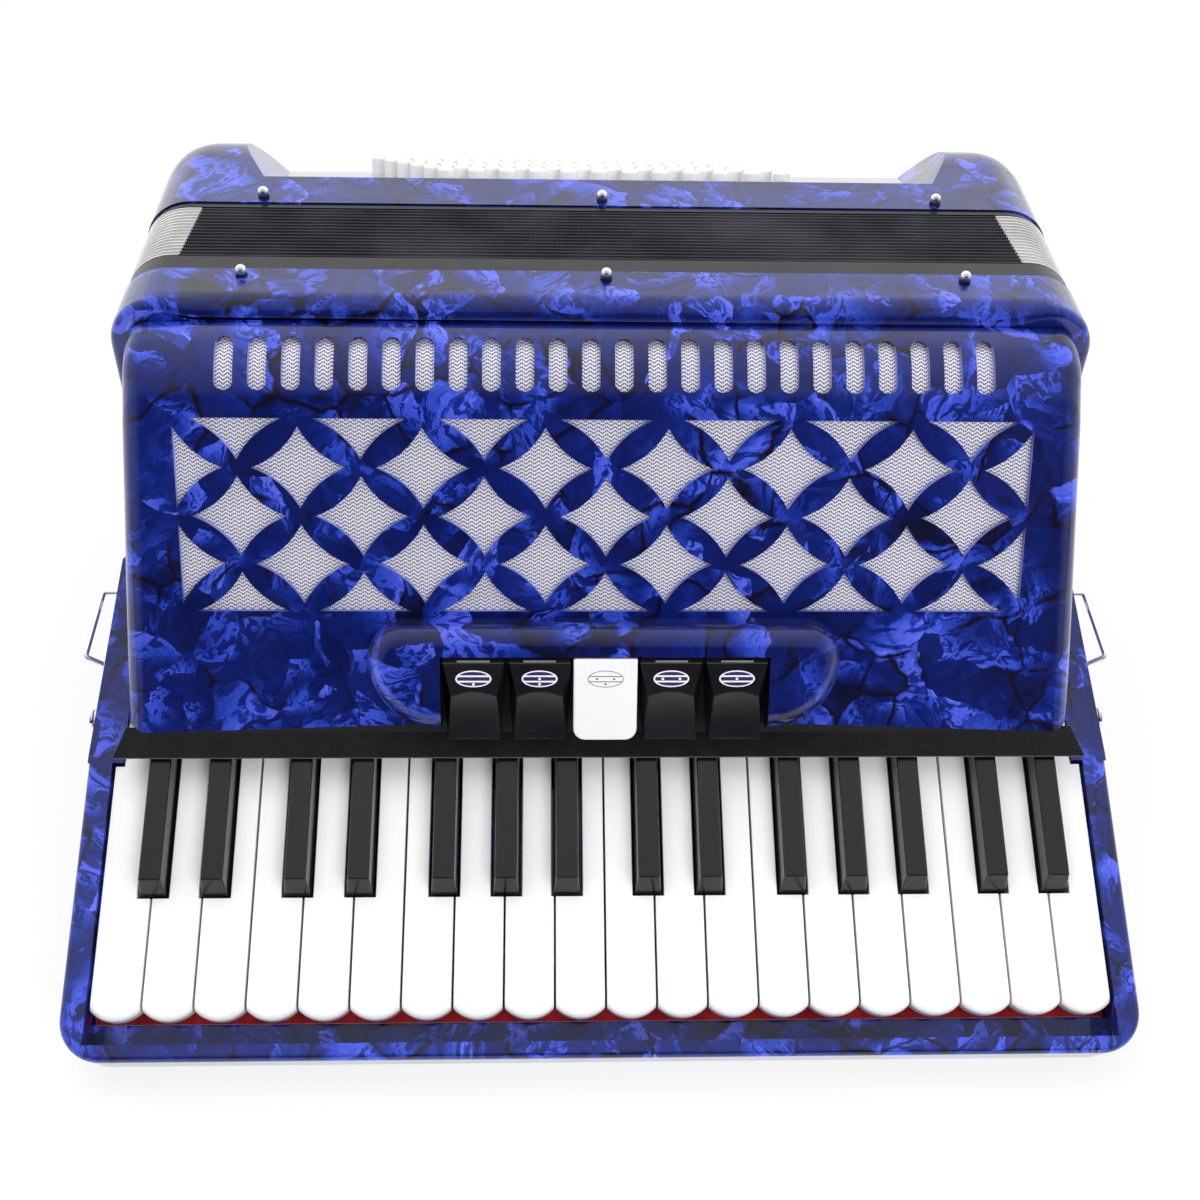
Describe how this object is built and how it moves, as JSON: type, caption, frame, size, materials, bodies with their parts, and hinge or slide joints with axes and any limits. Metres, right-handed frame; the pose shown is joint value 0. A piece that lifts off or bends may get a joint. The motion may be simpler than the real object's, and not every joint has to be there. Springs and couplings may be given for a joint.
{
  "type": "piano accordion",
  "caption": "Piano accordion lying on its back: sloping keyboard, pierced grille with register tabs, pleated bellows and a bass side with buttons, hand strap and air button.",
  "frame": {"origin": "centre of the overall box, on the plane that the back rests on", "axes": "+X along the keyboard towards the high notes, +Y from the keyboard towards the bass side, +Z from the back towards the front"},
  "size_m": [0.4092, 0.375, 0.2194],
  "materials": {
    "white_key_plastic": "polished ivory-white plastic",
    "black_key_plastic": "polished black plastic",
    "black_switch_plastic": "polished black plastic",
    "white_switch_plastic": "polished white plastic",
    "button_plastic": "polished plastic",
    "blue_pearloid": "royal-blue pearl celluloid with dark veins, polished",
    "felt": "wool felt",
    "woven_grille_cloth": "woven metal-thread cloth",
    "steel": "drawn steel",
    "reed_wood": "planed spruce",
    "chrome_fittings": "polished chrome plate",
    "bellows_card": "folded card with black cloth edges and metal corners",
    "plate_silver": "satin silver",
    "strap_leather": "black grained leather",
    "air_button_plastic": "polished plastic"
  },
  "bodies": {
    "treble_side": {"treble_case": "blue_pearloid", "keyboard_bed": "blue_pearloid", "key_felts": "felt", "grille_cover": "blue_pearloid", "grille_cloth": "woven_grille_cloth", "key_axle": "steel", "treble_reed_blocks": "reed_wood", "treble_fittings": "chrome_fittings", "bellows": "bellows_card"},
    "bass_side": {"bass_case": "blue_pearloid", "bass_button_plate": "plate_silver", "bass_fittings": "chrome_fittings", "bass_strap": "strap_leather", "bass_reed_blocks": "reed_wood"},
    "white_key_01": {"white_key_01": "white_key_plastic"},
    "white_key_02": {"white_key_02": "white_key_plastic"},
    "white_key_03": {"white_key_03": "white_key_plastic"},
    "white_key_04": {"white_key_04": "white_key_plastic"},
    "white_key_05": {"white_key_05": "white_key_plastic"},
    "white_key_06": {"white_key_06": "white_key_plastic"},
    "white_key_07": {"white_key_07": "white_key_plastic"},
    "white_key_08": {"white_key_08": "white_key_plastic"},
    "white_key_09": {"white_key_09": "white_key_plastic"},
    "white_key_10": {"white_key_10": "white_key_plastic"},
    "white_key_11": {"white_key_11": "white_key_plastic"},
    "white_key_12": {"white_key_12": "white_key_plastic"},
    "white_key_13": {"white_key_13": "white_key_plastic"},
    "white_key_14": {"white_key_14": "white_key_plastic"},
    "white_key_15": {"white_key_15": "white_key_plastic"},
    "white_key_16": {"white_key_16": "white_key_plastic"},
    "white_key_17": {"white_key_17": "white_key_plastic"},
    "white_key_18": {"white_key_18": "white_key_plastic"},
    "white_key_19": {"white_key_19": "white_key_plastic"},
    "white_key_20": {"white_key_20": "white_key_plastic"},
    "black_key_01": {"black_key_01": "black_key_plastic"},
    "black_key_02": {"black_key_02": "black_key_plastic"},
    "black_key_03": {"black_key_03": "black_key_plastic"},
    "black_key_04": {"black_key_04": "black_key_plastic"},
    "black_key_05": {"black_key_05": "black_key_plastic"},
    "black_key_06": {"black_key_06": "black_key_plastic"},
    "black_key_07": {"black_key_07": "black_key_plastic"},
    "black_key_08": {"black_key_08": "black_key_plastic"},
    "black_key_09": {"black_key_09": "black_key_plastic"},
    "black_key_10": {"black_key_10": "black_key_plastic"},
    "black_key_11": {"black_key_11": "black_key_plastic"},
    "black_key_12": {"black_key_12": "black_key_plastic"},
    "black_key_13": {"black_key_13": "black_key_plastic"},
    "black_key_14": {"black_key_14": "black_key_plastic"},
    "register_switch_1": {"register_switch_1": "black_switch_plastic"},
    "register_switch_2": {"register_switch_2": "black_switch_plastic"},
    "register_switch_3": {"register_switch_3": "white_switch_plastic"},
    "register_switch_4": {"register_switch_4": "black_switch_plastic"},
    "register_switch_5": {"register_switch_5": "black_switch_plastic"},
    "bass_buttons_row_1": {"bass_buttons_row_1": "button_plastic"},
    "bass_buttons_row_2": {"bass_buttons_row_2": "button_plastic"},
    "bass_buttons_row_3": {"bass_buttons_row_3": "button_plastic"},
    "bass_buttons_row_4": {"bass_buttons_row_4": "button_plastic"},
    "bass_buttons_row_5": {"bass_buttons_row_5": "button_plastic"},
    "bass_buttons_row_6": {"bass_buttons_row_6": "button_plastic"},
    "air_button": {"air_button": "air_button_plastic"}
  },
  "joints": [
    {"name": "white_key_01_hinge", "type": "hinge", "parent": "treble_side", "child": "white_key_01", "pos_m": [0, -0.06949, 0.06185], "axis": [1, 0, 0], "range_deg": [0, 2.2], "stiffness_Nm_per_rad": 0.5, "springref_deg": -5.73},
    {"name": "white_key_02_hinge", "type": "hinge", "parent": "treble_side", "child": "white_key_02", "pos_m": [0, -0.06949, 0.06185], "axis": [1, 0, 0], "range_deg": [0, 2.2], "stiffness_Nm_per_rad": 0.5, "springref_deg": -5.73},
    {"name": "white_key_03_hinge", "type": "hinge", "parent": "treble_side", "child": "white_key_03", "pos_m": [0, -0.06949, 0.06185], "axis": [1, 0, 0], "range_deg": [0, 2.2], "stiffness_Nm_per_rad": 0.5, "springref_deg": -5.73},
    {"name": "white_key_04_hinge", "type": "hinge", "parent": "treble_side", "child": "white_key_04", "pos_m": [0, -0.06949, 0.06185], "axis": [1, 0, 0], "range_deg": [0, 2.2], "stiffness_Nm_per_rad": 0.5, "springref_deg": -5.73},
    {"name": "white_key_05_hinge", "type": "hinge", "parent": "treble_side", "child": "white_key_05", "pos_m": [0, -0.06949, 0.06185], "axis": [1, 0, 0], "range_deg": [0, 2.2], "stiffness_Nm_per_rad": 0.5, "springref_deg": -5.73},
    {"name": "white_key_06_hinge", "type": "hinge", "parent": "treble_side", "child": "white_key_06", "pos_m": [0, -0.06949, 0.06185], "axis": [1, 0, 0], "range_deg": [0, 2.2], "stiffness_Nm_per_rad": 0.5, "springref_deg": -5.73},
    {"name": "white_key_07_hinge", "type": "hinge", "parent": "treble_side", "child": "white_key_07", "pos_m": [0, -0.06949, 0.06185], "axis": [1, 0, 0], "range_deg": [0, 2.2], "stiffness_Nm_per_rad": 0.5, "springref_deg": -5.73},
    {"name": "white_key_08_hinge", "type": "hinge", "parent": "treble_side", "child": "white_key_08", "pos_m": [0, -0.06949, 0.06185], "axis": [1, 0, 0], "range_deg": [0, 2.2], "stiffness_Nm_per_rad": 0.5, "springref_deg": -5.73},
    {"name": "white_key_09_hinge", "type": "hinge", "parent": "treble_side", "child": "white_key_09", "pos_m": [0, -0.06949, 0.06185], "axis": [1, 0, 0], "range_deg": [0, 2.2], "stiffness_Nm_per_rad": 0.5, "springref_deg": -5.73},
    {"name": "white_key_10_hinge", "type": "hinge", "parent": "treble_side", "child": "white_key_10", "pos_m": [0, -0.06949, 0.06185], "axis": [1, 0, 0], "range_deg": [0, 2.2], "stiffness_Nm_per_rad": 0.5, "springref_deg": -5.73},
    {"name": "white_key_11_hinge", "type": "hinge", "parent": "treble_side", "child": "white_key_11", "pos_m": [0, -0.06949, 0.06185], "axis": [1, 0, 0], "range_deg": [0, 2.2], "stiffness_Nm_per_rad": 0.5, "springref_deg": -5.73},
    {"name": "white_key_12_hinge", "type": "hinge", "parent": "treble_side", "child": "white_key_12", "pos_m": [0, -0.06949, 0.06185], "axis": [1, 0, 0], "range_deg": [0, 2.2], "stiffness_Nm_per_rad": 0.5, "springref_deg": -5.73},
    {"name": "white_key_13_hinge", "type": "hinge", "parent": "treble_side", "child": "white_key_13", "pos_m": [0, -0.06949, 0.06185], "axis": [1, 0, 0], "range_deg": [0, 2.2], "stiffness_Nm_per_rad": 0.5, "springref_deg": -5.73},
    {"name": "white_key_14_hinge", "type": "hinge", "parent": "treble_side", "child": "white_key_14", "pos_m": [0, -0.06949, 0.06185], "axis": [1, 0, 0], "range_deg": [0, 2.2], "stiffness_Nm_per_rad": 0.5, "springref_deg": -5.73},
    {"name": "white_key_15_hinge", "type": "hinge", "parent": "treble_side", "child": "white_key_15", "pos_m": [0, -0.06949, 0.06185], "axis": [1, 0, 0], "range_deg": [0, 2.2], "stiffness_Nm_per_rad": 0.5, "springref_deg": -5.73},
    {"name": "white_key_16_hinge", "type": "hinge", "parent": "treble_side", "child": "white_key_16", "pos_m": [0, -0.06949, 0.06185], "axis": [1, 0, 0], "range_deg": [0, 2.2], "stiffness_Nm_per_rad": 0.5, "springref_deg": -5.73},
    {"name": "white_key_17_hinge", "type": "hinge", "parent": "treble_side", "child": "white_key_17", "pos_m": [0, -0.06949, 0.06185], "axis": [1, 0, 0], "range_deg": [0, 2.2], "stiffness_Nm_per_rad": 0.5, "springref_deg": -5.73},
    {"name": "white_key_18_hinge", "type": "hinge", "parent": "treble_side", "child": "white_key_18", "pos_m": [0, -0.06949, 0.06185], "axis": [1, 0, 0], "range_deg": [0, 2.2], "stiffness_Nm_per_rad": 0.5, "springref_deg": -5.73},
    {"name": "white_key_19_hinge", "type": "hinge", "parent": "treble_side", "child": "white_key_19", "pos_m": [0, -0.06949, 0.06185], "axis": [1, 0, 0], "range_deg": [0, 2.2], "stiffness_Nm_per_rad": 0.5, "springref_deg": -5.73},
    {"name": "white_key_20_hinge", "type": "hinge", "parent": "treble_side", "child": "white_key_20", "pos_m": [0, -0.06949, 0.06185], "axis": [1, 0, 0], "range_deg": [0, 2.2], "stiffness_Nm_per_rad": 0.5, "springref_deg": -5.73},
    {"name": "black_key_01_hinge", "type": "hinge", "parent": "treble_side", "child": "black_key_01", "pos_m": [0, -0.06949, 0.06185], "axis": [1, 0, 0], "range_deg": [0, 2.2], "stiffness_Nm_per_rad": 0.5, "springref_deg": -5.73},
    {"name": "black_key_02_hinge", "type": "hinge", "parent": "treble_side", "child": "black_key_02", "pos_m": [0, -0.06949, 0.06185], "axis": [1, 0, 0], "range_deg": [0, 2.2], "stiffness_Nm_per_rad": 0.5, "springref_deg": -5.73},
    {"name": "black_key_03_hinge", "type": "hinge", "parent": "treble_side", "child": "black_key_03", "pos_m": [0, -0.06949, 0.06185], "axis": [1, 0, 0], "range_deg": [0, 2.2], "stiffness_Nm_per_rad": 0.5, "springref_deg": -5.73},
    {"name": "black_key_04_hinge", "type": "hinge", "parent": "treble_side", "child": "black_key_04", "pos_m": [0, -0.06949, 0.06185], "axis": [1, 0, 0], "range_deg": [0, 2.2], "stiffness_Nm_per_rad": 0.5, "springref_deg": -5.73},
    {"name": "black_key_05_hinge", "type": "hinge", "parent": "treble_side", "child": "black_key_05", "pos_m": [0, -0.06949, 0.06185], "axis": [1, 0, 0], "range_deg": [0, 2.2], "stiffness_Nm_per_rad": 0.5, "springref_deg": -5.73},
    {"name": "black_key_06_hinge", "type": "hinge", "parent": "treble_side", "child": "black_key_06", "pos_m": [0, -0.06949, 0.06185], "axis": [1, 0, 0], "range_deg": [0, 2.2], "stiffness_Nm_per_rad": 0.5, "springref_deg": -5.73},
    {"name": "black_key_07_hinge", "type": "hinge", "parent": "treble_side", "child": "black_key_07", "pos_m": [0, -0.06949, 0.06185], "axis": [1, 0, 0], "range_deg": [0, 2.2], "stiffness_Nm_per_rad": 0.5, "springref_deg": -5.73},
    {"name": "black_key_08_hinge", "type": "hinge", "parent": "treble_side", "child": "black_key_08", "pos_m": [0, -0.06949, 0.06185], "axis": [1, 0, 0], "range_deg": [0, 2.2], "stiffness_Nm_per_rad": 0.5, "springref_deg": -5.73},
    {"name": "black_key_09_hinge", "type": "hinge", "parent": "treble_side", "child": "black_key_09", "pos_m": [0, -0.06949, 0.06185], "axis": [1, 0, 0], "range_deg": [0, 2.2], "stiffness_Nm_per_rad": 0.5, "springref_deg": -5.73},
    {"name": "black_key_10_hinge", "type": "hinge", "parent": "treble_side", "child": "black_key_10", "pos_m": [0, -0.06949, 0.06185], "axis": [1, 0, 0], "range_deg": [0, 2.2], "stiffness_Nm_per_rad": 0.5, "springref_deg": -5.73},
    {"name": "black_key_11_hinge", "type": "hinge", "parent": "treble_side", "child": "black_key_11", "pos_m": [0, -0.06949, 0.06185], "axis": [1, 0, 0], "range_deg": [0, 2.2], "stiffness_Nm_per_rad": 0.5, "springref_deg": -5.73},
    {"name": "black_key_12_hinge", "type": "hinge", "parent": "treble_side", "child": "black_key_12", "pos_m": [0, -0.06949, 0.06185], "axis": [1, 0, 0], "range_deg": [0, 2.2], "stiffness_Nm_per_rad": 0.5, "springref_deg": -5.73},
    {"name": "black_key_13_hinge", "type": "hinge", "parent": "treble_side", "child": "black_key_13", "pos_m": [0, -0.06949, 0.06185], "axis": [1, 0, 0], "range_deg": [0, 2.2], "stiffness_Nm_per_rad": 0.5, "springref_deg": -5.73},
    {"name": "black_key_14_hinge", "type": "hinge", "parent": "treble_side", "child": "black_key_14", "pos_m": [0, -0.06949, 0.06185], "axis": [1, 0, 0], "range_deg": [0, 2.2], "stiffness_Nm_per_rad": 0.5, "springref_deg": -5.73},
    {"name": "register_switch_1_hinge", "type": "hinge", "parent": "treble_side", "child": "register_switch_1", "pos_m": [0, -0.07665, 0.10823], "axis": [1, 0, 0], "range_deg": [0, 6.5], "stiffness_Nm_per_rad": 0.05, "springref_deg": -11.46},
    {"name": "register_switch_2_hinge", "type": "hinge", "parent": "treble_side", "child": "register_switch_2", "pos_m": [0, -0.07665, 0.10823], "axis": [1, 0, 0], "range_deg": [0, 6.5], "stiffness_Nm_per_rad": 0.05, "springref_deg": -11.46},
    {"name": "register_switch_3_hinge", "type": "hinge", "parent": "treble_side", "child": "register_switch_3", "pos_m": [0, -0.07665, 0.10823], "axis": [1, 0, 0], "range_deg": [0, 6.5], "stiffness_Nm_per_rad": 0.05, "springref_deg": -11.46},
    {"name": "register_switch_4_hinge", "type": "hinge", "parent": "treble_side", "child": "register_switch_4", "pos_m": [0, -0.07665, 0.10823], "axis": [1, 0, 0], "range_deg": [0, 6.5], "stiffness_Nm_per_rad": 0.05, "springref_deg": -11.46},
    {"name": "register_switch_5_hinge", "type": "hinge", "parent": "treble_side", "child": "register_switch_5", "pos_m": [0, -0.07665, 0.10823], "axis": [1, 0, 0], "range_deg": [0, 6.5], "stiffness_Nm_per_rad": 0.05, "springref_deg": -11.46},
    {"name": "bass_buttons_row_1_slide", "type": "slide", "parent": "bass_side", "child": "bass_buttons_row_1", "axis": [0, -0.3584, -0.9336], "range_m": [0, 0.0045], "stiffness_N_per_m": 250, "springref_m": -0.002},
    {"name": "bass_buttons_row_2_slide", "type": "slide", "parent": "bass_side", "child": "bass_buttons_row_2", "axis": [0, -0.3584, -0.9336], "range_m": [0, 0.0045], "stiffness_N_per_m": 250, "springref_m": -0.002},
    {"name": "bass_buttons_row_3_slide", "type": "slide", "parent": "bass_side", "child": "bass_buttons_row_3", "axis": [0, -0.3584, -0.9336], "range_m": [0, 0.0045], "stiffness_N_per_m": 250, "springref_m": -0.002},
    {"name": "bass_buttons_row_4_slide", "type": "slide", "parent": "bass_side", "child": "bass_buttons_row_4", "axis": [0, -0.3584, -0.9336], "range_m": [0, 0.0045], "stiffness_N_per_m": 250, "springref_m": -0.002},
    {"name": "bass_buttons_row_5_slide", "type": "slide", "parent": "bass_side", "child": "bass_buttons_row_5", "axis": [0, -0.3584, -0.9336], "range_m": [0, 0.0045], "stiffness_N_per_m": 250, "springref_m": -0.002},
    {"name": "bass_buttons_row_6_slide", "type": "slide", "parent": "bass_side", "child": "bass_buttons_row_6", "axis": [0, -0.3584, -0.9336], "range_m": [0, 0.0045], "stiffness_N_per_m": 250, "springref_m": -0.002},
    {"name": "air_button_slide", "type": "slide", "parent": "bass_side", "child": "air_button", "axis": [0, -1, 0], "range_m": [0, 0.0045], "stiffness_N_per_m": 250, "springref_m": -0.002},
    {"name": "bellows_pull", "type": "slide", "parent": "treble_side", "child": "bass_side", "axis": [0, 1, 0], "range_m": [0, 0.24], "deforming": ["bellows"]}
  ]
}
